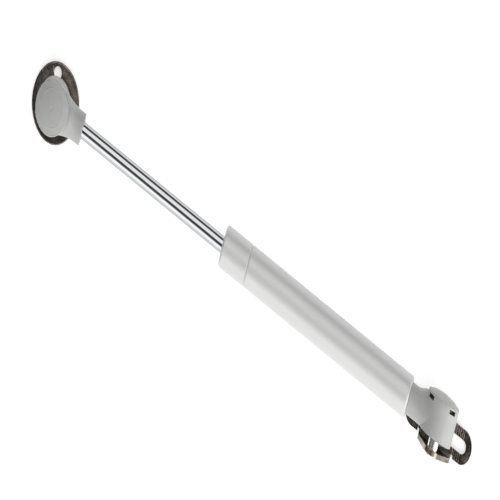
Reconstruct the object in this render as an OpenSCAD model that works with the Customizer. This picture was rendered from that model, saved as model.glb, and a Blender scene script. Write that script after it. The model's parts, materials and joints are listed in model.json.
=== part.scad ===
// Gas strut stay for a cabinet flap, fully extended, lying on its two mounting plates.
// +X runs along the strut from the rod end to the tube end, +Z is up from the mounting plane.
// The origin is the centre of the round wall plate's back face.

/* [Strut] */
// Distance between the two ball centres when fully extended
ball_spacing = 245; // [245:1:320]
// Travel of the rod
stroke = 89; // [40:1:90]
// Diameter of the piston rod
rod_d = 6; // [5:0.5:6]
// Outer diameter of the casing tube
tube_d = 15; // [15:0.5:16]
// Wall thickness of the casing tube
tube_wall = 1; // [0.8:0.1:1.2]
// Distance from the tube's front to its rolled groove
groove_x = 16.1; // [15:0.1:18]

/* [Sockets] */
// Diameter of the steel balls
ball_d = 10; // [9.5:0.1:10.5]
// Diameter of the socket housings and their caps
housing_d = 19; // [18:0.5:19.2]
// Ball centre to the open face of a socket, which is also the neck's radius
face_reach = 5.65; // [5.4:0.05:5.8]
// Ball centre to the seam between a housing and its cap
seam_reach = 7.4; // [7:0.1:8]
// Ball centre to the end of a socket's neck
neck_reach = 18.6; // [18:0.1:24]
// Height of the crown on a cap
crown_h = 1.5; // [0.8:0.1:2]
// Width of the four latch windows under a cap
window_w = 4.3; // [3:0.1:4.5]

/* [Mounting plates] */
// Thickness of the sheet steel of both plates
sheet = 1.8; // [1.5:0.1:2]
// Height of the strut's axis above the plates' backs
axis_z = 12; // [11.8:0.1:13]
// Diameter of the round wall plate
plate_d = 27.4; // [26:0.2:32]
// Pitch circle diameter of the wall plate's screw holes
hole_pcd = 20; // [19:0.5:22]
// Diameter of the wall plate's screw holes
hole_d = 4.4; // [3.5:0.1:4.6]
// Length of the door bracket's base
base_l = 41; // [41:1:60]
// Width of the door bracket's base
base_w = 11.8; // [11:0.2:14]
// Width of the door bracket's slots
slot_w = 4.8; // [4:0.1:5]
// Length of each slot, end to end
slot_l = 10.4; // [8:0.2:10.4]

/* [Hidden] */
$fn = 96;

// Colours
plastic_grey = [0.64, 0.65, 0.63];
cap_grey = [0.70, 0.71, 0.69];
silver_paint = [0.80, 0.80, 0.80];
chrome = [0.86, 0.87, 0.88];
nickel = [0.45, 0.42, 0.40];
rubber = [0.10, 0.10, 0.10];
bronze = [0.62, 0.46, 0.25];
zinc = [0.60, 0.61, 0.62];

// Places along the strut
rest_gap = 0.3;
tube_front = neck_reach + stroke + rest_gap;
tube_back = ball_spacing - neck_reach;
tube_r = tube_d / 2;
bore_r = tube_r - tube_wall;
rod_r = rod_d / 2;

// Fits
slip = 0.05;
spigot_slip = 0.04;
tiny = 0.01;

// Casing ends and rolled groove
end_round = 1.3;
front_hole_r = 4.2;
back_hole_r = 4.6;
groove_depth = 0.4;
groove_tool_r = 0.8;
groove_half = sqrt(pow(groove_tool_r, 2) - pow(groove_depth, 2));
groove_at = tube_front + groove_x;

// Guide and seal pack, between the front lip and the rolled groove
front_washer_t = 0.8;
guide_l = 5.6;
seal_l = 4.2;
pack_front = tube_front + tube_wall;
guide_at = pack_front + front_washer_t;
seal_at = guide_at + guide_l;
support_at = seal_at + seal_l;
support_l = groove_at - groove_half - support_at;

// Piston pack, which stops against the groove when extended
piston_gap = 0.2;
washer_t = 0.6;
piston_l = 4;
rivet_l = 1.2;
piston_r = bore_r - 0.2;
spigot_r = 1.8;
ring_w = 1.5;
ring_depth = 1;
piston_washer_at = groove_at + groove_half + piston_gap;
piston_at = piston_washer_at + washer_t;
rivet_at = piston_at + piston_l;

// Threaded ends that hold the sockets
thread_r = 2.5;
thread_l = 9.1;

// End plug
plug_l = 3.2;
plug_at = tube_back - tube_wall - plug_l;
plug_groove_w = 1.2;
plug_groove_depth = 1.1;

// Sockets
ball_r = ball_d / 2;
seat_r = ball_r + slip;
housing_r = housing_d / 2;
neck_r = face_reach;
lip_r = 4.0;
mouth_r = 4.8;
plug_bore_r = 5.85;
cup_z = 1.5;
edge_cut = 0.4;
window_h = 1.5;
blend_x = 16;
side_blend_r = 10;
// Radius of the arc that touches both the housing's circle and the neck's side at blend_x
plan_blend_r = (pow(blend_x, 2) + pow(neck_r, 2) - pow(housing_r, 2)) / (2 * (housing_r - neck_r));

// Caps
cap_rim_h = 0.6;
cap_bevel = 0.4;
tab_r = 7.2;
crown_r = housing_r - cap_bevel;
crown_sphere_r = (pow(crown_r, 2) + pow(crown_h, 2)) / (2 * crown_h);

// Ball pins, and the rise of the wall plate's middle that makes room for the pin's head
plate_rise = 0.6;
seat_reach = axis_z - sheet - plate_rise;
shank_r = 3;
ball_flat = sqrt(pow(ball_r, 2) - pow(shank_r, 2));
rivet_shank_r = 2;
rivet_head_r = 3.4;
spigot_top = 2.5;

// Wall plate
plate_r = plate_d / 2;
plate_turn = 106;
rise_in = 4.6;
rise_out = 5.4;

// Door bracket
bend_in = 1.6;
bend_out = bend_in + sheet;
ear_in = -seat_reach;
bend_y = ear_in + bend_in;
edge_inset = 0.5;
base_edge = ear_in + edge_inset;
relief = 1;
base_mid = base_edge + base_w / 2;
ear_r = 5;
ear_foot = 10;
bracket_head_h = 0.8;
slot_end = base_l / 2 - 3.4;
rib_pitch = 1.1;
rib_cut = 0.3;
rib_end = base_l / 2 - 4.6;
rib_start = 10.6;

// Turns a shape made along Z so that it runs along +X at the strut's axis
module along_strut(x = 0) {
    translate([x, 0, axis_z]) rotate([0, 90, 0]) children();
}

// A ring or disc centred on the strut's axis
module strut_ring(x, l, r_out, r_in = 0) {
    along_strut(x) difference() {
        cylinder(h = l, r = r_out);
        translate([0, 0, -1]) cylinder(h = l + 2, r = r_in);
    }
}

// The rod end's ball frame: neck along +X, open face down
module at_rod_end() {
    translate([0, 0, axis_z]) children();
}

// The tube end's ball frame: neck along -X, open face towards -Y
module at_tube_end() {
    translate([ball_spacing, 0, axis_z]) rotate([90, 0, 180]) children();
}

// Flare between housing and neck, round in section and drawn in from both sides
module socket_flare() {
    intersection() {
        rotate([0, 90, 0]) rotate_extrude() difference() {
            translate([0, 3]) square([housing_r - 0.2, blend_x - 3]);
            translate([neck_r + side_blend_r, blend_x]) circle(r = side_blend_r);
        }
        translate([0, 0, -face_reach]) linear_extrude(face_reach + seam_reach) difference() {
            translate([3, -housing_r]) square([blend_x - 3, housing_d]);
            for (side = [-1, 1])
                translate([blend_x, side * (neck_r + plan_blend_r)]) circle(r = plan_blend_r);
        }
    }
}

// Moulded socket in its ball frame: ball centre at the origin, stud towards -Z
module socket() {
    difference() {
        union() {
            translate([0, 0, -face_reach]) cylinder(h = edge_cut, r1 = housing_r - edge_cut, r2 = housing_r);
            translate([0, 0, edge_cut - face_reach])
                cylinder(h = face_reach + seam_reach - edge_cut, r = housing_r);
            rotate([0, 90, 0]) cylinder(h = neck_reach - edge_cut, r = neck_r);
            translate([neck_reach - edge_cut, 0, 0]) rotate([0, 90, 0])
                cylinder(h = edge_cut, r1 = neck_r, r2 = neck_r - edge_cut);
            socket_flare();
        }
        // Ball seat, with a lip that keeps the ball in and a mouth that lets the stud tilt
        sphere(r = seat_r);
        translate([0, 0, -face_reach - tiny])
            cylinder(h = face_reach - sqrt(pow(seat_r, 2) - pow(lip_r, 2)) + 2 * tiny, r1 = mouth_r, r2 = lip_r);
        // Bore for the ball to go in from the cap side, and for the cap's plug
        cylinder(h = cup_z + tiny, r = seat_r);
        translate([0, 0, cup_z]) cylinder(h = seam_reach, r = plug_bore_r);
        // Latch windows
        for (turn = [45:90:315]) rotate(turn)
            translate([plug_bore_r - 1, -window_w / 2, seam_reach - window_h])
                cube([housing_r, window_w, window_h + 1]);
        // Threaded hole
        translate([neck_reach - thread_l - 0.1, 0, 0]) rotate([0, 90, 0])
            cylinder(h = thread_l + 1, r = thread_r);
    }
}

// Cap in the same frame: bevelled rim, low crown, plug with the upper half of the ball seat, latch tabs
module socket_cap() {
    plug_z = cup_z + 0.1;
    difference() {
        union() {
            translate([0, 0, seam_reach]) cylinder(h = cap_rim_h, r = housing_r);
            translate([0, 0, seam_reach + cap_rim_h])
                cylinder(h = cap_bevel, r1 = housing_r, r2 = crown_r);
            intersection() {
                translate([0, 0, seam_reach + cap_rim_h + cap_bevel + crown_h - crown_sphere_r])
                    sphere(r = crown_sphere_r);
                translate([0, 0, seam_reach + cap_rim_h]) cylinder(h = 4, r = crown_r);
            }
            translate([0, 0, plug_z]) cylinder(h = seam_reach - plug_z + tiny, r = plug_bore_r - slip);
            for (turn = [45:90:315]) rotate(turn)
                translate([plug_bore_r - 1, 0.2 - window_w / 2, seam_reach - window_h + 0.1])
                    cube([tab_r - plug_bore_r + 1, window_w - 0.4, window_h - 0.2]);
        }
        sphere(r = seat_r);
    }
}

// Drilled steel ball with a flat that sits over the pin's shoulder
module ball() {
    difference() {
        sphere(r = ball_r);
        translate([-ball_r, -ball_r, -ball_r - ball_flat]) cube([ball_d, ball_d, ball_r]);
        translate([0, 0, -ball_r]) cylinder(h = ball_r + spigot_top + slip, r = rivet_shank_r);
    }
}

// Pin under a ball, riveted through the sheet
module ball_pin(head_h) {
    translate([0, 0, slip - ball_flat - tiny])
        cylinder(h = spigot_top + ball_flat - slip + tiny, r = rivet_shank_r - spigot_slip);
    translate([0, 0, -seat_reach]) cylinder(h = seat_reach - ball_flat - slip, r = shank_r);
    translate([0, 0, -ball_flat - 1]) cylinder(h = 1 + slip, r = rivet_shank_r - spigot_slip);
    translate([0, 0, -seat_reach - sheet - tiny]) cylinder(h = sheet + 2 * tiny, r = rivet_shank_r);
    translate([0, 0, -seat_reach - sheet - head_h])
        cylinder(h = head_h, r1 = rivet_head_r - 0.4, r2 = rivet_head_r);
}

module wall_plate() {
    color(nickel) difference() {
        rotate_extrude() polygon([
            [rivet_shank_r, plate_rise],
            [rise_in, plate_rise],
            [rise_out, 0],
            [plate_r - 0.2, 0],
            [plate_r, 0.2],
            [plate_r, sheet - 0.4],
            [plate_r - 0.4, sheet],
            [rise_out + 0.6, sheet],
            [rise_in + 0.6, sheet + plate_rise],
            [rivet_shank_r, sheet + plate_rise],
        ]);
        for (turn = [0:120:240]) rotate(plate_turn + turn)
            translate([hole_pcd / 2, 0, -1]) cylinder(h = sheet + 2, r = hole_d / 2);
    }
}

module wall_plate_pin() {
    color(chrome) at_rod_end() ball_pin(plate_rise - slip);
}

module wall_plate_ball() {
    color(chrome) at_rod_end() ball();
}

module rod_socket() {
    color(plastic_grey) at_rod_end() socket();
}

module rod_socket_cap() {
    color(cap_grey) at_rod_end() socket_cap();
}

// Rod with a threaded front end, and a spigot riveted over the piston
module piston_rod() {
    front = neck_reach - thread_l;
    color(chrome) {
        along_strut(front) cylinder(h = edge_cut, r1 = thread_r - edge_cut, r2 = thread_r);
        along_strut(front + edge_cut) cylinder(h = thread_l - edge_cut + tiny, r = thread_r);
        along_strut(neck_reach) cylinder(h = piston_washer_at - neck_reach, r = rod_r);
        along_strut(piston_washer_at - tiny) cylinder(h = washer_t + piston_l + 2 * tiny, r = spigot_r);
        along_strut(rivet_at) cylinder(h = rivet_l, r1 = spigot_r + 1, r2 = spigot_r);
    }
}

module piston_washer() {
    color(zinc) strut_ring(piston_washer_at, washer_t, piston_r - 1, spigot_r);
}

// Piston with a ring groove and a fine gas port
module piston() {
    color(zinc) difference() {
        strut_ring(piston_at, piston_l, piston_r, spigot_r);
        strut_ring(piston_at + (piston_l - ring_w) / 2 - slip, ring_w + 2 * slip, bore_r, piston_r - ring_depth);
        translate([0, 0, -rod_r - 0.9]) along_strut(piston_at - 1) cylinder(h = piston_l + 2, r = 0.4);
    }
}

module piston_ring() {
    color(rubber)
        strut_ring(piston_at + (piston_l - ring_w) / 2, ring_w, bore_r - slip, piston_r - ring_depth + slip);
}

// Steel tube with its ends rolled in and a rolled groove behind the guide pack
module casing_tube() {
    length = tube_back - tube_front;
    shoulder = tube_r - end_round;
    color(silver_paint) along_strut(tube_front) rotate_extrude() difference() {
        union() {
            difference() {
                union() {
                    translate([0, end_round]) square([tube_r, length - 2 * end_round]);
                    square([shoulder, length]);
                    for (y = [end_round, length - end_round])
                        translate([shoulder, y]) circle(r = end_round);
                }
                translate([-tiny, tube_wall]) square([bore_r + tiny, length - 2 * tube_wall]);
                translate([-tiny, -1]) square([front_hole_r + tiny, 3]);
                translate([-tiny, length - 2]) square([back_hole_r + tiny, 3]);
            }
            translate([bore_r + groove_depth, groove_x]) circle(r = groove_tool_r);
        }
        translate([tube_r + groove_depth, groove_x]) circle(r = groove_tool_r);
        translate([-2 * tube_r, -1]) square([2 * tube_r, length + 2]);
    }
}

module front_washer() {
    color(zinc) strut_ring(pack_front, front_washer_t, bore_r - slip, rod_r + 0.2);
}

module rod_guide() {
    color(bronze) strut_ring(guide_at, guide_l, bore_r - slip, rod_r + slip);
}

// Rubber seal with a lip groove on its pressure side
module rod_seal() {
    color(rubber) difference() {
        strut_ring(seal_at, seal_l, bore_r - slip, rod_r + slip);
        strut_ring(seal_at + seal_l - 1.4, 2, bore_r - 1, rod_r + 1);
    }
}

module seal_support_ring() {
    color(zinc) strut_ring(support_at, support_l, bore_r - slip, rod_r + 2 * slip);
}

// Plug that closes the tube, with the stud that the tube socket screws onto
module end_plug() {
    groove_start = plug_at + (plug_l - plug_groove_w) / 2;
    color(zinc) {
        difference() {
            along_strut(plug_at) cylinder(h = plug_l, r = bore_r - slip);
            strut_ring(groove_start, plug_groove_w, bore_r + 1, bore_r - plug_groove_depth);
        }
        along_strut(plug_at + plug_l - tiny) cylinder(h = tube_wall + tiny, r = back_hole_r - slip);
        along_strut(tube_back - tiny) cylinder(h = thread_l - edge_cut + tiny, r = thread_r);
        along_strut(tube_back + thread_l - edge_cut)
            cylinder(h = edge_cut, r1 = thread_r, r2 = thread_r - edge_cut);
    }
}

module plug_o_ring() {
    groove_start = plug_at + (plug_l - plug_groove_w) / 2;
    color(rubber) strut_ring(groove_start + slip, plug_groove_w - 2 * slip,
        bore_r - slip / 2, bore_r - plug_groove_depth + slip);
}

module tube_socket() {
    color(plastic_grey) at_tube_end() socket();
}

module tube_socket_cap() {
    color(cap_grey) at_tube_end() socket_cap();
}

// Outline of the ear and its bend, seen along Y: a triangle with a round top about the pin
module ear_outline() {
    reach = norm([ear_foot, axis_z - sheet]);
    lean = atan2(axis_z - sheet, ear_foot) + asin(ear_r / reach);
    touch = [ear_r * sin(lean), axis_z + ear_r * cos(lean)];
    translate([0, axis_z]) circle(r = ear_r);
    polygon([
        [-ear_foot, 0],
        [ear_foot, 0],
        [ear_foot, sheet],
        touch,
        [-touch[0], touch[1]],
        [-ear_foot, sheet],
    ]);
}

// Slotted base with grip ribs, and an ear bent up from its edge
module door_bracket() {
    slot_mid = slot_end - slot_l / 2;
    color(nickel) translate([ball_spacing, 0, 0]) difference() {
        union() {
            // Base with round ends, relieved beside the bend
            difference() {
                translate([0, base_mid, 0]) {
                    translate([-(base_l - base_w) / 2, -base_w / 2, 0]) cube([base_l - base_w, base_w, sheet]);
                    for (side = [-1, 1]) translate([side * (base_l - base_w) / 2, 0, 0])
                        cylinder(h = sheet, d = base_w);
                }
                translate([-ear_foot - relief, bend_y - base_w, -1])
                    cube([2 * (ear_foot + relief), base_w, sheet + 2]);
            }
            // Bend and ear
            intersection() {
                union() {
                    intersection() {
                        translate([-ear_foot, bend_y, bend_out]) rotate([0, 90, 0]) difference() {
                            cylinder(h = 2 * ear_foot, r = bend_out);
                            translate([0, 0, -1]) cylinder(h = 2 * ear_foot + 2, r = bend_in);
                        }
                        translate([-ear_foot, bend_y - bend_out, 0])
                            cube([2 * ear_foot, bend_out, bend_out]);
                    }
                    translate([-ear_foot, ear_in - sheet, bend_out])
                        cube([2 * ear_foot, sheet, axis_z + ear_r]);
                }
                rotate([90, 0, 0]) linear_extrude(2 * axis_z) ear_outline();
            }
        }
        // Slots
        for (side = [-1, 1]) translate([side * slot_mid, base_mid, -1]) {
            translate([-(slot_l - slot_w) / 2, -slot_w / 2, 0]) cube([slot_l - slot_w, slot_w, sheet + 2]);
            for (end = [-1, 1]) translate([end * (slot_l - slot_w) / 2, 0, 0])
                cylinder(h = sheet + 2, d = slot_w);
        }
        // Grip grooves across both arms
        for (side = [-1, 1]) for (x = [rib_start:rib_pitch:rib_end])
            translate([side * x, base_mid, sheet]) rotate([0, 45, 0])
                cube([rib_cut * sqrt(2), base_w + 2, rib_cut * sqrt(2)], center = true);
        // Pin hole
        translate([0, 0, axis_z]) rotate([90, 0, 0]) cylinder(h = 2 * axis_z, r = rivet_shank_r);
    }
}

module door_bracket_pin() {
    color(chrome) at_tube_end() ball_pin(bracket_head_h);
}

module door_bracket_ball() {
    color(chrome) at_tube_end() ball();
}

wall_plate();
wall_plate_pin();
wall_plate_ball();
rod_socket();
rod_socket_cap();
piston_rod();
piston_washer();
piston();
piston_ring();
casing_tube();
front_washer();
rod_guide();
rod_seal();
seal_support_ring();
end_plug();
plug_o_ring();
tube_socket();
tube_socket_cap();
door_bracket();
door_bracket_pin();
door_bracket_ball();
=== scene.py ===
"""Gas strut stay, lying on its two mounting plates on a pale table.

The rod end's ball stands over the round wall plate, and the tube end's ball sits beside the door bracket's
ear. Both moulded sockets with their caps, both pins, the tube, the rod and the two plates are modelled here
in detail. The inner pieces are the CAD solids with better materials. The object's lengths are in millimetres,
and become metres where vertices are made. The table, lights and camera are in metres.
"""
import json
from math import acos, asin, atan2, cos, hypot, pi, radians, sin, sqrt, tan

import bmesh
import bpy
from mathutils import Matrix, Vector


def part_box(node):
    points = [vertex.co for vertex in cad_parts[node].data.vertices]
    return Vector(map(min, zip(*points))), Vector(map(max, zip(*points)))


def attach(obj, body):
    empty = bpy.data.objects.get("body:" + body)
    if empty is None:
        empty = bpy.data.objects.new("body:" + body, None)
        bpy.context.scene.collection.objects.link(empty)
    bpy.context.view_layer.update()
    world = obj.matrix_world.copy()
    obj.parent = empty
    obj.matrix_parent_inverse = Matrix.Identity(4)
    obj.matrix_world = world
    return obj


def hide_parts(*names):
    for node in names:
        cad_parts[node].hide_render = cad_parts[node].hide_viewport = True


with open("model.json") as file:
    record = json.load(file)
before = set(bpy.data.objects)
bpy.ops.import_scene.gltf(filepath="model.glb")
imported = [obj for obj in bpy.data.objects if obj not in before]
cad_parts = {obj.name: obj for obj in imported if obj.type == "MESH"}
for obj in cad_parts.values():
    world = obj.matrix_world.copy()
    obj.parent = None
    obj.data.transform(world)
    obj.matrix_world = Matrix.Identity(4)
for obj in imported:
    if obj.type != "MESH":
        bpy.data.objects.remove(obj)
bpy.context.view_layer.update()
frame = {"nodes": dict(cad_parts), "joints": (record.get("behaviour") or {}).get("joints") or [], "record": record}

MM = 0.001
JOINTS = {joint["name"]: joint for joint in frame["joints"]}
ROD_BALL = Vector(JOINTS["rod_ball_tilt"]["pos_m"])
TUBE_BALL = Vector(JOINTS["tube_ball_tilt"]["pos_m"])

# Edges that bend by more than these angles stay crisp
CREASE = radians(32)
FINE_CREASE = radians(28)
RIB_CREASE = radians(30)

# How far a cutter runs past the face that it cuts
PAST = 1.0

# Turns that stand a prism up: its outline then lies in the YZ plane, or in the XZ plane
OUTLINE_YZ = Matrix(((0, 0, 1, 0), (1, 0, 0, 0), (0, 1, 0, 0), (0, 0, 0, 1)))
OUTLINE_XZ = Matrix(((1, 0, 0, 0), (0, 0, 1, 0), (0, 1, 0, 0), (0, 0, 0, 1)))


# ---------------------------------------------------------------- shapes

def rounded(corners, steps=6):
    """The outline through (x, y, fillet radius) corners, with each fillet as an arc."""
    points = []
    count = len(corners)
    for i, (x, y, radius) in enumerate(corners):
        corner = Vector((x, y))
        if radius <= 0:
            points.append(corner)
            continue
        before = (Vector(corners[i - 1][:2]) - corner).normalized()
        after = (Vector(corners[(i + 1) % count][:2]) - corner).normalized()
        half = before.angle(after) / 2
        reach = radius / tan(half)
        middle = corner + (before + after).normalized() * radius / sin(half)
        start, end = corner + before * reach - middle, corner + after * reach - middle
        turn = start.angle_signed(end)
        for k in range(steps + 1):
            spin = Matrix.Rotation(-turn * k / steps, 2)
            points.append(middle + spin @ start)
    return points


def new_piece(name, bm, place=Matrix.Identity(4)):
    """A smooth-shaded object from bm, with its sharp edges kept crisp."""
    bmesh.ops.remove_doubles(bm, verts=bm.verts, dist=1e-7)
    bm.transform(place)
    bmesh.ops.recalc_face_normals(bm, faces=bm.faces)
    mesh = bpy.data.meshes.new(name)
    bm.to_mesh(mesh)
    bm.free()
    piece = bpy.data.objects.new(name, mesh)
    bpy.context.scene.collection.objects.link(piece)
    mesh.shade_smooth()
    mesh.set_sharp_from_angle(angle=CREASE)
    return piece


def lathe(bm, outline, segments):
    """Turns an outline of (radius, height) points about Z. It is closed, or starts and ends on the axis."""
    on_axis = 1e-6
    rings = []
    for radius, height in outline:
        if radius < on_axis:
            rings.append([bm.verts.new((0, 0, height * MM))])
            continue
        ring = []
        for k in range(segments):
            a = 2 * pi * k / segments
            ring.append(bm.verts.new((radius * cos(a) * MM, radius * sin(a) * MM, height * MM)))
        rings.append(ring)
    open_ended = len(rings[0]) == 1 and len(rings[-1]) == 1
    pairs = zip(rings, rings[1:]) if open_ended else zip(rings, rings[1:] + rings[:1])
    for low, high in pairs:
        for k in range(segments):
            k2 = (k + 1) % segments
            if len(low) == 1 and len(high) == 1:
                continue
            if len(low) == 1:
                bm.faces.new((low[0], high[k2], high[k]))
            elif len(high) == 1:
                bm.faces.new((low[k], low[k2], high[0]))
            else:
                bm.faces.new((low[k], low[k2], high[k2], high[k]))


def turned(name, corners, place=Matrix.Identity(4), segments=128, steps=6):
    """A turned piece from filleted corners of (radius, height, fillet)."""
    bm = bmesh.new()
    lathe(bm, rounded(corners, steps), segments)
    return new_piece(name, bm, place)


def prism(bm, outline, low, high):
    """A prism over a closed outline of (x, y) points, from height low to high."""
    bottom = [bm.verts.new((x * MM, y * MM, low * MM)) for x, y in outline]
    top = [bm.verts.new((x * MM, y * MM, high * MM)) for x, y in outline]
    bm.faces.new(bottom)
    bm.faces.new(top)
    for k, vert in enumerate(bottom):
        k2 = (k + 1) % len(bottom)
        bm.faces.new((vert, bottom[k2], top[k2], top[k]))


def block(name, outline, low, high, place=Matrix.Identity(4)):
    """A piece that is one prism."""
    bm = bmesh.new()
    prism(bm, outline, low, high)
    return new_piece(name, bm, place)


def rectangle(low_x, low_y, high_x, high_y):
    return (low_x, low_y), (high_x, low_y), (high_x, high_y), (low_x, high_y)


def boolean(piece, cutter, operation):
    """Joins, cuts or intersects piece with cutter, and removes the cutter."""
    modifier = piece.modifiers.new("boolean", "BOOLEAN")
    modifier.operation, modifier.object, modifier.solver = operation, cutter, "MANIFOLD"
    apply_modifiers(piece)
    bpy.data.objects.remove(cutter)


def apply_modifiers(piece):
    """Replaces the piece's mesh with its evaluated one."""
    bpy.context.view_layer.update()
    evaluated = piece.evaluated_get(bpy.context.evaluated_depsgraph_get())
    mesh = bpy.data.meshes.new_from_object(evaluated)
    piece.modifiers.clear()
    piece.data = mesh


# ---------------------------------------------------------------- materials

# A Mix node's sockets when it mixes colours
MIX_AMOUNT, MIX_LOW, MIX_HIGH, MIX_RESULT = 0, 6, 7, 2
# Painted shade: the dark colour that marked plastic faces take in the sockets' windows and hollows.
PAINTED_SHADE_COLOUR = (0.10, 0.102, 0.097)
PLASTIC_DARK, PLASTIC_LIGHT = (0.41, 0.417, 0.401), (0.445, 0.452, 0.436)


class Surface:
    """A Principled material, with short calls that add procedural detail to it."""

    def __init__(self, name, roughness, metallic=0.0, colour=(0.8, 0.8, 0.8)):
        self.material = bpy.data.materials.new(name)
        self.material.use_nodes = True
        self.tree = self.material.node_tree
        self.shader = self.tree.nodes["Principled BSDF"]
        self.shader.inputs["Base Color"].default_value = (*colour, 1)
        self.shader.inputs["Roughness"].default_value = roughness
        self.shader.inputs["Metallic"].default_value = metallic
        self.place = self.add("ShaderNodeTexCoord").outputs["Object"]
        self.normal = None

    def add(self, kind, inputs=None, **settings):
        node = self.tree.nodes.new(kind)
        for key, value in settings.items():
            setattr(node, key, value)
        for key, value in (inputs or {}).items():
            if isinstance(value, bpy.types.NodeSocket):
                self.tree.links.new(value, node.inputs[key])
            else:
                node.inputs[key].default_value = value
        return node

    def noise(self, size_mm, detail=3.0, stretch=(1, 1, 1), distortion=0.0):
        """Noise whose blotches are about size_mm across, times the stretch along each axis."""
        scale = [1 / (size_mm * MM * s) for s in stretch]
        mapping = self.add("ShaderNodeMapping", {"Vector": self.place, "Scale": scale})
        node = self.add("ShaderNodeTexNoise", {
            "Vector": mapping.outputs["Vector"],
            "Scale": 1.0,
            "Detail": detail,
            "Distortion": distortion,
        })
        return node.outputs["Fac"]

    def remap(self, value, low, high, start=0.3, stop=0.7):
        """Maps value from start..stop to low..high."""
        node = self.add("ShaderNodeMapRange", {
            "Value": value,
            "From Min": start,
            "From Max": stop,
            "To Min": low,
            "To Max": high,
        })
        return node.outputs["Result"]

    def colour(self, amount, low, high):
        """Base colour from low to high as the amount goes from 0 to 1. Low may be a colour made before."""
        start = low if isinstance(low, bpy.types.NodeSocket) else (*low, 1)
        node = self.add(
            "ShaderNodeMix", {MIX_AMOUNT: amount, MIX_LOW: start, MIX_HIGH: (*high, 1)}, data_type="RGBA")
        self.tree.links.new(node.outputs[MIX_RESULT], self.shader.inputs["Base Color"])
        return node.outputs[MIX_RESULT]

    def wear(self, base, bright, start, stop):
        """Brightens the base colour along convex edges."""
        edges = self.add("ShaderNodeNewGeometry").outputs["Pointiness"]
        self.colour(self.remap(edges, 0.0, 1.0, start, stop), base, bright)

    def roughness(self, value, low, high):
        self.tree.links.new(self.remap(value, low, high), self.shader.inputs["Roughness"])

    def bump(self, height, depth_mm):
        """Adds a layer of relief over the ones before it."""
        inputs = {"Height": height, "Distance": depth_mm * MM, "Strength": 1.0}
        if self.normal is not None:
            inputs["Normal"] = self.normal
        self.normal = self.add("ShaderNodeBump", inputs).outputs["Normal"]
        self.tree.links.new(self.normal, self.shader.inputs["Normal"])


def moulded_plastic(name):
    """Glass-filled nylon: a fine spark-eroded grain, slight flow marks and uneven gloss."""
    s = Surface(name, 0.48)
    flow = s.noise(3.5, 4, (2.2, 1, 1), 0.4)
    unshaded = s.colour(s.remap(flow, 0, 1), PLASTIC_DARK, PLASTIC_LIGHT)
    # Painted shade: marked faces are painted dark, standing in for the shade in the sockets' windows and hollows.
    painted_shade = s.add("ShaderNodeAttribute", attribute_name="painted_shade")
    s.colour(painted_shade.outputs["Fac"], unshaded, PAINTED_SHADE_COLOUR)
    s.roughness(s.noise(1.1, 3), 0.42, 0.56)
    s.bump(s.noise(0.16, 2), 0.010)
    s.bump(flow, 0.030)
    return s.material


def silver_paint():
    """Silver enamel on the tube: metal flakes under a satin coat with a faint orange peel."""
    s = Surface("silver_paint", 0.45, 0.3)
    flakes = s.noise(0.12, 1)
    s.colour(s.remap(flakes, 0, 1, 0.35, 0.65), (0.61, 0.61, 0.605), (0.70, 0.70, 0.695))
    s.roughness(s.noise(2.5, 3, (3, 1, 1)), 0.41, 0.49)
    s.bump(s.noise(0.9, 2, (0.6, 1, 1)), 0.022)
    s.bump(flakes, 0.003)
    return s.material


def hard_chrome():
    """Ground chrome on the rod, with grinding marks round it and faint oil haze."""
    s = Surface("hard_chrome", 0.08, 1.0, (0.53, 0.54, 0.55))
    s.shader.inputs["Specular Tint"].default_value = (0.5, 0.5, 0.5, 1)
    s.roughness(s.noise(2.0, 3, (6, 1, 1)), 0.06, 0.12)
    s.bump(s.noise(0.05, 2, (1, 30, 30)), 0.0006)
    return s.material


def nickel_plate():
    """Dull nickel over pressed steel: mottled, with broad lighter brown patches as a painted highlight, rolling
    marks and bright worn edges.
    """
    s = Surface("nickel_plate", 0.24, 1.0)
    mottle = s.noise(2.4, 4, (1.6, 1, 1), 0.6)
    base = s.colour(s.remap(mottle, 0, 1), (0.12, 0.108, 0.098), (0.21, 0.19, 0.172))
    # Painted highlight: broad lighter brown patches that stand in for a soft reflection on the plate.
    painted_highlight = s.remap(s.noise(9, 2, (1, 1, 4)), 0, 1, 0.46, 0.66)
    base = s.colour(painted_highlight, base, (0.37, 0.32, 0.285))
    s.wear(base, (0.62, 0.59, 0.54), 0.55, 0.63)
    s.roughness(s.noise(0.9, 3), 0.18, 0.32)
    s.bump(s.noise(0.1, 2, (25, 1, 1)), 0.0006)
    s.bump(s.noise(1.6, 1), 0.005)
    s.bump(s.noise(7, 1), 0.08)
    return s.material


def bright_nickel():
    """Polished nickel on the turned pins and balls, with turning marks."""
    s = Surface("bright_nickel", 0.24, 1.0, (0.80, 0.77, 0.73))
    s.roughness(s.noise(0.8, 3), 0.20, 0.29)
    s.bump(s.noise(0.06, 1, (12, 1, 12)), 0.0008)
    return s.material


def zinc_plate():
    """Passivated zinc on the inner steel pieces."""
    s = Surface("zinc", 0.35, 1.0)
    s.colour(s.remap(s.noise(1.5, 4), 0, 1), (0.46, 0.47, 0.49), (0.60, 0.60, 0.60))
    s.roughness(s.noise(0.7, 3), 0.28, 0.44)
    s.bump(s.noise(0.2, 2), 0.003)
    return s.material


def sintered_bronze():
    """Porous bronze on the rod's guide bush."""
    s = Surface("bush_bronze", 0.42, 1.0)
    pores = s.noise(0.18, 2)
    s.colour(s.remap(pores, 0, 1), (0.36, 0.24, 0.11), (0.55, 0.39, 0.19))
    s.roughness(pores, 0.34, 0.52)
    s.bump(pores, 0.008)
    return s.material


def nitrile_rubber():
    """Black rubber of the seals, with a dusty bloom."""
    s = Surface("seal_rubber", 0.6)
    bloom = s.noise(0.9, 4)
    s.colour(s.remap(bloom, 0, 1), (0.012, 0.012, 0.012), (0.035, 0.035, 0.034))
    s.roughness(bloom, 0.5, 0.72)
    s.bump(s.noise(0.12, 2), 0.006)
    return s.material


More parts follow.
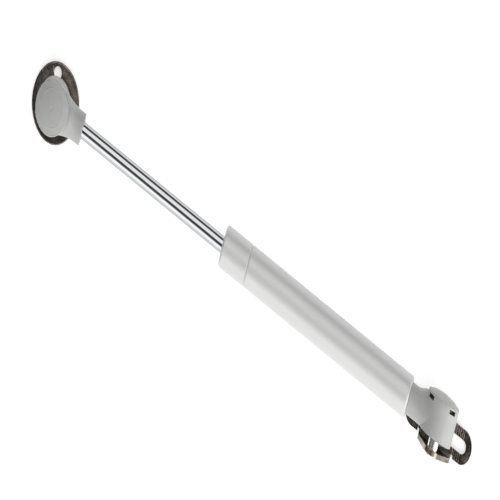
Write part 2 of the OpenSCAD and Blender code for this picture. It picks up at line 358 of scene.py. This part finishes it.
def pale_table():
    """Matt white light table, very slightly uneven and softly lit from below."""
    s = Surface("pale_table", 0.7)
    s.colour(s.remap(s.noise(40, 3), 0, 1), (0.80, 0.80, 0.80), (0.83, 0.83, 0.83))
    s.shader.inputs["Emission Color"].default_value = (1, 1, 1, 1)
    s.shader.inputs["Emission Strength"].default_value = 0.50
    s.bump(s.noise(0.8, 2), 0.01)
    return s.material


SLOTS = {
    "grey_plastic": moulded_plastic("grey_plastic"),
    "cap_plastic": moulded_plastic("cap_plastic"),
    "silver_paint": silver_paint(),
    "hard_chrome": hard_chrome(),
    "nickel_plate": nickel_plate(),
    "bright_nickel": bright_nickel(),
    "zinc": zinc_plate(),
    "bush_bronze": sintered_bronze(),
    "seal_rubber": nitrile_rubber(),
}
SLOT_OF = {part["node"]: part["material_slot"] for part in frame["record"]["subparts"]}


def body_of_node(node):
    bodies = frame["record"]["behaviour"]["bodies"]
    return next(body for body, nodes in bodies.items() if node in nodes)


def dress(piece, node):
    """Makes a detailed piece stand for a CAD node: its material, its body and its slot."""
    flatten = piece.modifiers.new("flatten", "WEIGHTED_NORMAL")
    flatten.keep_sharp = True
    apply_modifiers(piece)
    body, slot = body_of_node(node), SLOT_OF[node]
    piece.data.materials.clear()
    piece.data.materials.append(SLOTS[slot])
    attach(piece, body)
    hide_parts(node)


# ---------------------------------------------------------------- places, from the frame

def span(node, axis):
    """Lowest and highest place of a node along an axis, in millimetres."""
    low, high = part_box(node)
    return low[axis] / MM, high[axis] / MM


def radius_of(node, axis):
    low, high = span(node, axis)
    return (high - low) / 2


AXIS_Z = ROD_BALL.z / MM
HOUSING_R = radius_of("rod_socket_cap", 0)
FACE = AXIS_Z - span("rod_socket", 2)[0]
SEAM = span("rod_socket", 2)[1] - AXIS_Z
CAP_TOP = span("rod_socket_cap", 2)[1] - AXIS_Z
NECK_END = span("rod_socket", 0)[1]
TUBE_FRONT, TUBE_BACK = span("casing_tube", 0)
TUBE_R = radius_of("casing_tube", 1)
ROD_R = radius_of("piston_rod", 1)
ROD_FRONT, ROD_BACK = span("piston_rod", 0)
BALL_R = radius_of("wall_plate_ball", 0)
PLATE_R = radius_of("wall_plate", 0)
PLATE_TOP = span("wall_plate", 2)[1]
SEAT = AXIS_Z - PLATE_TOP
SHEET = 1.8
RISE = PLATE_TOP - SHEET

AT_ROD = Matrix.Translation(ROD_BALL)
AT_TUBE = Matrix.Translation(TUBE_BALL) @ Matrix.Rotation(pi, 4, Vector((0, 1, 1)).normalized())
ALONG_STRUT = Matrix.Translation((0, 0, ROD_BALL.z)) @ Matrix.Rotation(pi / 2, 4, "Y")


# ---------------------------------------------------------------- moulded sockets

NECK_R = FACE
NECK_START = 1.0
NECK_ROUND = 0.2
# The flare's arcs start at BLEND_X. Seen from above they touch the housing's circle.
BLEND_X = 16.0
SIDE_BLEND = 10.0
PLAN_BLEND = (BLEND_X ** 2 + NECK_R ** 2 - HOUSING_R ** 2) / (2 * (HOUSING_R - NECK_R))

# Ball seat, the mouth that the pin comes through, and the bore for the cap's plug
SEAT_R = BALL_R + 0.05
LIP_R = 4.0
MOUTH_R = 5.1
CUP_Z = 1.5
PLUG_Z = CUP_Z + 0.1
PLUG_R = 5.85
PLUG_SLIP = 0.05

# Latch windows, and the cap's tabs in them
WINDOW_W, WINDOW_H = 4.3, 1.5
WINDOW_TURNS = [radians(turn) for turn in (45, 135, 225, 315)]
TAB_R = 7.2
TAB_SIDE_GAP, TAB_END_GAP = 0.2, 0.1

# The cap's rim, and the marks on its crown
RIM_H, RIM_ROUND = 0.65, 0.12
BEVEL_W, BEVEL_H = 0.4, 0.35
LEDGE_W, CROWN_START = 0.15, 0.3
RING_AT, RING_HALF, RING_H = 6.6, 0.35, 0.09
GATE_R, GATE_DEPTH = 0.9, 0.12


def flare(x, radius, limit):
    """Half size of the neck at x: straight up to BLEND_X, then an arc that opens towards the housing."""
    steepest = radius * 0.98
    back = min(max(BLEND_X - x, 0), steepest)
    return min(NECK_R + radius - sqrt(radius ** 2 - back ** 2), limit)


def oval(half_y, top, bottom, x, count=96):
    """A ring of points at x, an ellipse with its own height above and below."""
    ring = []
    for k in range(count):
        a = 2 * pi * k / count
        ring.append((x * MM, half_y * cos(a) * MM, (top if sin(a) > 0 else bottom) * sin(a) * MM))
    return ring


def neck_mesh(bm, steps=40, round_steps=4):
    """The neck and its flare, from inside the housing to a rounded end."""
    widest, highest = HOUSING_R - 0.4, SEAM - 0.25
    rings = []
    for k in range(steps + 1):
        x = NECK_START + (NECK_END - NECK_ROUND - NECK_START) * k / steps
        rings.append(oval(flare(x, PLAN_BLEND, widest), flare(x, SIDE_BLEND, highest), FACE, x))
    for k in range(1, round_steps + 1):
        a = pi / 2 * k / round_steps
        r = NECK_R - NECK_ROUND * (1 - cos(a))
        rings.append(oval(r, r, r, NECK_END - NECK_ROUND * (1 - sin(a))))
    verts = [[bm.verts.new(p) for p in ring] for ring in rings]
    count = len(verts[0])
    for near, far in zip(verts, verts[1:]):
        for k in range(count):
            k2 = (k + 1) % count
            bm.faces.new((near[k], near[k2], far[k2], far[k]))
    bm.faces.new(verts[0])
    bm.faces.new(verts[-1])


def paint_shade(piece, inside):
    """Marks the faces whose centre passes the test. The plastic paints them dark, as painted shade."""
    marks = piece.data.attributes.new("painted_shade", "FLOAT", "FACE")
    for face in piece.data.polygons:
        marks.data[face.index].value = float(inside(face.center))


def window_cutter():
    """Four slots through the housing's wall, open at the seam, with small corner radii."""
    half, sill, corner = WINDOW_W / 2, SEAM - WINDOW_H, 0.3
    outline = rounded([
        (-half, sill, corner), (half, sill, corner), (half, SEAM + PAST, 0), (-half, SEAM + PAST, 0)], 4)
    bm = bmesh.new()
    for turn in WINDOW_TURNS:
        prism(bm, outline, PLUG_R - PAST, HOUSING_R + 2 * PAST)
        new = list(bm.verts)[-2 * len(outline):]
        bmesh.ops.transform(bm, matrix=Matrix.Rotation(turn, 4, "Z") @ OUTLINE_YZ, verts=new)
    return new_piece("window_cutter", bm)


def socket(name, place, seat_steps=12):
    """Housing, neck and flare as one moulding, hollow for the ball and the cap's plug."""
    face_round, seam_round, skin = 0.5, 0.2, 0.1
    housing = turned(name, [
        (0, -FACE, 0), (HOUSING_R, -FACE, face_round), (HOUSING_R, SEAM, seam_round), (0, SEAM, 0)])
    bm = bmesh.new()
    neck_mesh(bm)
    boolean(housing, new_piece("neck", bm), "UNION")
    boolean(housing, window_cutter(), "DIFFERENCE")
    lip = asin(-sqrt(SEAT_R ** 2 - LIP_R ** 2) / SEAT_R)
    turns = [lip * (1 - k / seat_steps) for k in range(seat_steps + 1)]
    seat = [(SEAT_R * cos(a), SEAT_R * sin(a), 0) for a in turns]
    cavity = turned("cavity", [
        (0, -FACE - PAST, 0), (MOUTH_R, -FACE - PAST, 0), *seat, (SEAT_R, CUP_Z, 0),
        (PLUG_R, CUP_Z, 0), (PLUG_R, SEAM + PAST, 0), (0, SEAM + PAST, 0)])
    boolean(housing, cavity, "DIFFERENCE")

    # Painted shade on every face inside the housing's outer wall: the ball's seat, the plug's bore and the window
    # walls.
    def inside(centre):
        within_wall = hypot(centre.x, centre.y) < (HOUSING_R - skin) * MM
        return within_wall and -FACE * MM < centre.z < SEAM * MM and centre.x < BLEND_X * MM / 2

    paint_shade(housing, inside)
    housing.data.transform(place)
    housing.data.set_sharp_from_angle(angle=FINE_CREASE)
    return housing


def crown_outline(steps=72):
    """The cap's crown from its edge to its middle: a low dome with a raised ring and a gate mark."""
    edge_r = HOUSING_R - BEVEL_W - LEDGE_W
    height = CAP_TOP - SEAM - RIM_H - CROWN_START
    dome_r = (edge_r ** 2 + height ** 2) / (2 * height)
    points = []
    for k in range(steps + 1):
        r = edge_r * (1 - k / steps)
        ring = RING_H * sqrt(max(0.0, 1 - abs(r - RING_AT) / RING_HALF))
        gate = GATE_DEPTH * max(0.0, 1 - (r / GATE_R) ** 4)
        points.append((r, CAP_TOP - dome_r + sqrt(dome_r ** 2 - r ** 2) + ring - gate, 0))
    return points


def socket_cap(name, place, seat_steps=24):
    """Bevelled rim, crown, plug with the upper part of the ball's seat, and latch tabs."""
    plug_r, bevel_round, below = PLUG_R - PLUG_SLIP, 0.1, 0.01
    edge = acos(PLUG_Z / SEAT_R)
    turns = [edge * k / seat_steps for k in range(seat_steps + 1)]
    cap = turned(name, [
        *((SEAT_R * sin(a), SEAT_R * cos(a), 0) for a in turns),
        (plug_r, PLUG_Z, 0), (plug_r, SEAM, 0),
        (HOUSING_R, SEAM, RIM_ROUND), (HOUSING_R, SEAM + RIM_H, RIM_ROUND),
        (HOUSING_R - BEVEL_W, SEAM + RIM_H + BEVEL_H, bevel_round),
        *crown_outline()])
    bm = bmesh.new()
    half = WINDOW_W / 2 - TAB_SIDE_GAP
    for turn in WINDOW_TURNS:
        spin = Matrix.Rotation(turn, 2)
        tab = [spin @ Vector(corner) for corner in rectangle(PLUG_R - PAST, -half, TAB_R, half)]
        prism(bm, tab, SEAM - WINDOW_H + TAB_END_GAP, SEAM - TAB_END_GAP)
    boolean(cap, new_piece("latch_tabs", bm), "UNION")
    # Painted shade on every face below the seam: the plug, its part of the seat and the latch tabs.
    paint_shade(cap, lambda centre: centre.z < (SEAM - below) * MM)
    cap.data.transform(place)
    return cap


for end, place in (("rod", AT_ROD), ("tube", AT_TUBE)):
    dress(socket(f"detailed_{end}_socket", place), f"{end}_socket")
    dress(socket_cap(f"detailed_{end}_socket_cap", place), f"{end}_socket_cap")


# ---------------------------------------------------------------- pins

PIN_HEAD_R = 3.4
PIN_HEAD_ROUND = 0.5
PIN_RIVET_R = 2.0
PIN_SHANK_R = 3.0
PIN_SPIGOT_R, PIN_SPIGOT_TOP, PIN_SPIGOT_ROUND = 1.9, 2.4, 0.3


def ball_pin(name, node, place, head_h):
    """Turned pin: riveted head, rivet through the sheet, thick shank, and a spigot up into the ball."""
    back = -SEAT - SHEET
    under_ball = -sqrt(BALL_R ** 2 - PIN_SHANK_R ** 2) - 0.06
    pin = turned(name, [
        (0, back - head_h, 0), (PIN_HEAD_R, back - head_h, min(PIN_HEAD_ROUND, head_h * 0.8)),
        (PIN_HEAD_R, back, 0), (PIN_RIVET_R, back, 0), (PIN_RIVET_R, -SEAT, 0),
        (PIN_SHANK_R, -SEAT, 0.08), (PIN_SHANK_R, under_ball, 0.1), (PIN_SPIGOT_R, under_ball, 0),
        (PIN_SPIGOT_R, PIN_SPIGOT_TOP, PIN_SPIGOT_ROUND), (0, PIN_SPIGOT_TOP, 0)], place)
    dress(pin, node)


ball_pin("turned_plate_pin", "wall_plate_pin", AT_ROD, 0.55)
ball_pin("turned_bracket_pin", "door_bracket_pin", AT_TUBE, 0.8)


# ---------------------------------------------------------------- gas spring

WALL = 1.0
END_ROUND, LIP_ROUND = 1.3, 0.3
FRONT_HOLE_R, BACK_HOLE_R = 4.2, 4.6
# The rolled groove outside, and the bead that it pushes into the bore
GROOVE = TUBE_FRONT + 16.1
GROOVE_HALF, GROOVE_DEPTH = 0.45, 0.5
GROOVE_EDGE, GROOVE_FLOOR = 0.2, 0.15
BEAD_HALF, BEAD_DEPTH = 0.7, 0.4
THREAD_R, SPIGOT_R, RIVET_R = 2.5, 1.8, 2.8
ROD_CHAMFER = 0.4


def casing_tube():
    """Tube with rolled-in ends and a rolled groove that bulges into the bore."""
    bore = TUBE_R - WALL
    outline = [
        (FRONT_HOLE_R, TUBE_FRONT, LIP_ROUND), (TUBE_R, TUBE_FRONT, END_ROUND),
        (TUBE_R, GROOVE - GROOVE_HALF, GROOVE_EDGE), (TUBE_R - GROOVE_DEPTH, GROOVE, GROOVE_FLOOR),
        (TUBE_R, GROOVE + GROOVE_HALF, GROOVE_EDGE), (TUBE_R, TUBE_BACK, END_ROUND),
        (BACK_HOLE_R, TUBE_BACK, LIP_ROUND), (BACK_HOLE_R, TUBE_BACK - WALL, 0),
        (bore, TUBE_BACK - WALL, 0), (bore, GROOVE + BEAD_HALF, 0), (bore - BEAD_DEPTH, GROOVE, 0),
        (bore, GROOVE - BEAD_HALF, 0), (bore, TUBE_FRONT + WALL, 0), (FRONT_HOLE_R, TUBE_FRONT + WALL, 0)]
    dress(turned("rolled_casing_tube", outline, ALONG_STRUT, segments=192, steps=10), "casing_tube")


def piston_rod():
    """Ground rod with its threaded front end and the spigot riveted over the piston."""
    shoulder = span("piston_washer", 0)[0]
    rivet = span("piston", 0)[1]
    outline = [
        (0, ROD_FRONT, 0), (THREAD_R, ROD_FRONT, ROD_CHAMFER), (THREAD_R, NECK_END, 0),
        (ROD_R, NECK_END, 0), (ROD_R, shoulder, 0.1), (SPIGOT_R, shoulder, 0), (SPIGOT_R, rivet, 0),
        (RIVET_R, rivet, 0.1), (SPIGOT_R, ROD_BACK, ROD_CHAMFER), (0, ROD_BACK, 0)]
    dress(turned("ground_piston_rod", outline, ALONG_STRUT), "piston_rod")


casing_tube()
piston_rod()


# ---------------------------------------------------------------- mounting plates

HOLE_R, HOLE_CIRCLE = 2.2, 10.0
HOLE_TURN = radians(106)
HOLE_CHAMFER = 0.25
# Where the wall plate's raised middle ends and where its flat rim starts, on the back and on the front
RISE_BACK, RISE_FRONT = (4.6, 5.4), (5.2, 6.2)


def bevel_edges(piece, width):
    """Rounds the edges of a cut sheet."""
    modifier = piece.modifiers.new("bevel", "BEVEL")
    modifier.width, modifier.segments = width * MM, 3
    modifier.limit_method, modifier.angle_limit = "ANGLE", radians(34)
    modifier.use_clamp_overlap = True
    apply_modifiers(piece)
    piece.data.shade_smooth()


def wall_plate():
    """Pressed disc with a raised middle, a rolled edge and three chamfered screw holes."""
    plate = turned("pressed_wall_plate", [
        (PIN_RIVET_R, RISE, 0), (RISE_BACK[0], RISE, 0.4), (RISE_BACK[1], 0, 0.4),
        (PLATE_R, 0, 0.25), (PLATE_R, SHEET, 0.55),
        (RISE_FRONT[1], SHEET, 1.0), (RISE_FRONT[0], PLATE_TOP, 0.6), (PIN_RIVET_R, PLATE_TOP, 0)], steps=8)
    mouth_r = HOLE_R + HOLE_CHAMFER + PAST
    for k in range(3):
        turn = HOLE_TURN + 2 * pi * k / 3
        centre = Matrix.Translation((HOLE_CIRCLE * cos(turn) * MM, HOLE_CIRCLE * sin(turn) * MM, 0))
        cutter = turned("hole_cutter", [
            (0, -PAST, 0), (mouth_r, -PAST, 0), (HOLE_R, HOLE_CHAMFER, 0),
            (HOLE_R, SHEET - HOLE_CHAMFER, 0.1), (mouth_r, SHEET + PAST, 0), (0, SHEET + PAST, 0),
        ], centre, segments=64)
        boolean(plate, cutter, "DIFFERENCE")
    plate.data.set_sharp_from_angle(angle=FINE_CREASE)
    dress(plate, "wall_plate")


BRACKET_X = TUBE_BALL.x / MM
BASE_HALF = radius_of("door_bracket", 0)
BASE_W = 11.8
BASE_MID = 0.5 - SEAT + BASE_W / 2
BASE_ROUND = 0.22
# The bend starts at BEND_Y, and the base is relieved beside it
BEND_IN = 1.6
BEND_Y = BEND_IN - SEAT
RELIEF, NOTCH_DEPTH = 1.0, 5.0
EAR_FOOT, EAR_R = 10.0, 5.0
EAR_REACH = 16.0
# Slots and grip ribs. SLOT_END and RIB_END are measured from the base's ends, RIB_START from its middle.
SLOT_W, SLOT_L, SLOT_END = 4.8, 10.4, 3.4
RIB_PITCH, RIB_DEPTH, RIB_START, RIB_END = 1.1, 0.3, 10.6, 4.6


def obround(half_length, radius, x, y, steps=24):
    """An outline with two straight sides and round ends, along X."""
    points = []
    for k in range(2 * steps + 2):
        a = -pi / 2 + pi * (k % (steps + 1)) / steps + (pi if k > steps else 0)
        shift = half_length - radius if k <= steps else radius - half_length
        points.append((x + shift + radius * cos(a), y + radius * sin(a)))
    return points


def ear_outline(steps=24):
    """The ear seen along Y, as (x, z): a foot, two slanted sides and a round top about the pin."""
    rise = AXIS_Z - SHEET
    reach = sqrt(EAR_FOOT ** 2 + rise ** 2)
    lean = atan2(rise, EAR_FOOT) + asin(EAR_R / reach)
    points = [(-EAR_FOOT, -PAST), (EAR_FOOT, -PAST), (EAR_FOOT, SHEET)]
    for k in range(steps + 1):
        a = pi / 2 - lean + (2 * lean) * k / steps
        points.append((EAR_R * cos(a), AXIS_Z + EAR_R * sin(a)))
    points.append((-EAR_FOOT, SHEET))
    return points


def bent_strip(steps=12):
    """The sheet's outline seen along X, as (y, z): from the base round the bend and up the ear."""
    outer, top = BEND_IN + SHEET, AXIS_Z + EAR_R + PAST
    turns = [pi / 2 * k / steps for k in range(steps + 1)]
    outside = [(BEND_Y - outer * sin(a), outer - outer * cos(a)) for a in turns]
    inside = [(BEND_Y - BEND_IN * sin(a), outer - BEND_IN * cos(a)) for a in reversed(turns)]
    lap = BEND_Y + 1
    ear = (BEND_Y - outer, top), (BEND_Y - BEND_IN, top)
    return [(lap, 0), *outside, *ear, *inside, (lap, SHEET)]


def rib_cutter(side):
    """A comb of V grooves across one arm."""
    count = int((BASE_HALF - RIB_END - RIB_START) / RIB_PITCH) + 1
    outline = []
    for k in range(count):
        x = RIB_START + k * RIB_PITCH
        outline += [(x - RIB_DEPTH, SHEET), (x, SHEET - RIB_DEPTH), (x + RIB_DEPTH, SHEET)]
    outline += [(outline[-1][0], SHEET + PAST), (outline[0][0], SHEET + PAST)]
    comb = [(side * x, z) for x, z in outline]
    return block("rib_cutter", comb, BASE_MID - BASE_W, BASE_MID + BASE_W, OUTLINE_XZ)


def door_bracket():
    """Slotted base with grip ribs on both arms, and an ear bent up from its edge."""
    bracket = block("bent_door_bracket", obround(BASE_HALF, BASE_W / 2, 0, BASE_MID, 40), 0, SHEET)
    notch = rectangle(-EAR_FOOT - RELIEF, BEND_Y - NOTCH_DEPTH, EAR_FOOT + RELIEF, BEND_Y)
    boolean(bracket, block("notch_cutter", notch, -PAST, SHEET + PAST), "DIFFERENCE")
    ear = block("ear_strip", bent_strip(), -EAR_FOOT, EAR_FOOT, OUTLINE_YZ)
    boolean(ear, block("ear_mask", ear_outline(), -EAR_REACH, 0, OUTLINE_XZ), "INTERSECT")
    boolean(bracket, ear, "UNION")
    slot_mid = BASE_HALF - SLOT_END - SLOT_L / 2
    for side in (-1, 1):
        slot = obround(SLOT_L / 2, SLOT_W / 2, side * slot_mid, BASE_MID)
        boolean(bracket, block("slot_cutter", slot, -PAST, SHEET + PAST), "DIFFERENCE")
    bevel_edges(bracket, BASE_ROUND)
    for side in (-1, 1):
        boolean(bracket, rib_cutter(side), "DIFFERENCE")
    bracket.data.set_sharp_from_angle(angle=RIB_CREASE)
    bracket.data.transform(Matrix.Translation((BRACKET_X * MM, 0, 0)))
    dress(bracket, "door_bracket")


wall_plate()
door_bracket()


# ---------------------------------------------------------------- inner pieces keep their CAD solids

for name, node_object in frame["nodes"].items():
    if not node_object.hide_render:
        material = SLOTS[SLOT_OF[name]]
        for k in range(len(node_object.material_slots)):
            node_object.material_slots[k].material = material


# ---------------------------------------------------------------- table, light and camera

TABLE_SIZE, TABLE_Z = 2.0, -0.00005


def table():
    bm = bmesh.new()
    bmesh.ops.create_grid(bm, x_segments=2, y_segments=2, size=TABLE_SIZE)
    top = new_piece("table_top", bm, Matrix.Translation((ROD_BALL.x, 0, TABLE_Z)))
    top.data.materials.append(pale_table())


def softbox(name, place, size, power, aim):
    """A rectangular studio light at place, aimed at a point."""
    light = bpy.data.lights.new(name, "AREA")
    light.shape, light.size, light.size_y, light.energy = "RECTANGLE", size[0], size[1], power
    lamp = bpy.data.objects.new(name, light)
    lamp.location = place
    lamp.rotation_euler = (Vector(aim) - Vector(place)).to_track_quat("-Z", "Y").to_euler()
    bpy.context.scene.collection.objects.link(lamp)


# Parts of the sky, as directions from the strut
OVERHEAD = (0, -0.22, 0.976)
GLOW_SIDE = (0.42, -0.85, 0.32)
STRAIGHT_DOWN = (0, 0, -1)
# Each light's name, its place from the strut's middle, its size and its power
SOFTBOXES = (
    ("key", (0.10, -0.55, 0.42), (0.9, 0.55), 0.9),
    ("side", (0.60, -0.08, 0.17), (0.4, 0.3), 1.35),
    ("fill", (-0.05, 0.37, 0.605), (0.9, 0.60), 2.2),
)


def sky_ramp(tree, direction, towards, start, stop, low, high):
    """A value that goes from low to high as the direction turns towards a point of the sky."""
    dot = tree.nodes.new("ShaderNodeVectorMath")
    dot.operation = "DOT_PRODUCT"
    dot.inputs[1].default_value = towards
    tree.links.new(direction, dot.inputs[0])
    ramp = tree.nodes.new("ShaderNodeMapRange")
    ramp.interpolation_type = "SMOOTHSTEP"
    tree.links.new(dot.outputs["Value"], ramp.inputs["Value"])
    for name, value in (("From Min", start), ("From Max", stop), ("To Min", low), ("To Max", high)):
        ramp.inputs[name].default_value = value
    return ramp.outputs["Result"]


def combine(tree, operation, first, second):
    node = tree.nodes.new("ShaderNodeMath")
    node.operation = operation
    tree.links.new(first, node.inputs[0])
    tree.links.new(second, node.inputs[1])
    return node.outputs[0]


def studio():
    """Three softboxes, in a sky that glows low on the -Y side, is dim overhead and white below the table."""
    world = bpy.data.worlds.new("studio")
    bpy.context.scene.world = world
    world.use_nodes = True
    tree = world.node_tree
    direction = tree.nodes.new("ShaderNodeTexCoord").outputs["Generated"]
    overhead = sky_ramp(tree, direction, OVERHEAD, 0.89, 0.98, 1.0, 0.15)
    glow = sky_ramp(tree, direction, GLOW_SIDE, -0.1, 0.95, 0.12, 1.18)
    below = sky_ramp(tree, direction, STRAIGHT_DOWN, 0.0, 0.03, 0.0, 1.1)
    sky = combine(tree, "MAXIMUM", combine(tree, "MULTIPLY", overhead, glow), below)
    tree.links.new(sky, tree.nodes["Background"].inputs["Strength"])
    tree.nodes["Background"].inputs["Color"].default_value = (1, 1, 1, 1)
    middle = (ROD_BALL + TUBE_BALL) / 2
    for name, offset, size, power in SOFTBOXES:
        softbox(name, middle + Vector(offset), size, power, middle)


# The picture is a wide one squeezed sideways into a square, so a step across it stands for more than one up.
SQUEEZE = 9 / 16
PICTURE_WIDTH = 0.288
STRUT_SLOPE = radians(24.75)
TILT = radians(7)
LEAN = radians(4)
CENTRE_RIGHT, CENTRE_UP = 0.0023, 0.0045
CAMERA_DISTANCE = 0.6


def camera():
    """Looks down on the strut from a little to the +X and +Y side. The strut runs down to the right.

    The sideways squeeze is made by slanting the picture plane. Its upright leans along the line of sight,
    until a length up the picture takes 16/9 of the room that it takes across. A camera can't hold a slant
    itself, so it hangs on an anchor that does.
    """
    back = Vector((tan(LEAN), tan(TILT), 1)).normalized()
    strut_x = (Vector((1, 0, 0)) - back * back.x).normalized()
    strut_y = back.cross(strut_x)
    right = cos(STRUT_SLOPE) * strut_x + sin(STRUT_SLOPE) * strut_y
    up = cos(STRUT_SLOPE) * strut_y - sin(STRUT_SLOPE) * strut_x
    slanted_up = SQUEEZE * up + sqrt(1 - SQUEEZE ** 2) * back
    middle = (ROD_BALL + TUBE_BALL) / 2 + CENTRE_RIGHT * right + CENTRE_UP * up
    data = bpy.data.cameras.new("photo_camera")
    data.type, data.ortho_scale = "ORTHO", PICTURE_WIDTH
    data.clip_start, data.clip_end = 0.01, 3.0
    view = bpy.data.objects.new("photo_camera", data)
    anchor = bpy.data.objects.new("camera_anchor", None)
    for item in (anchor, view):
        bpy.context.scene.collection.objects.link(item)
    columns = right, slanted_up, back, middle + back * CAMERA_DISTANCE
    view.parent = anchor
    view.matrix_parent_inverse = Matrix([*zip(*columns), (0, 0, 0, 1)])
    bpy.context.scene.camera = view


table()
studio()
camera()
bpy.context.scene.view_settings.view_transform = "Standard"

bpy.context.view_layer.update()
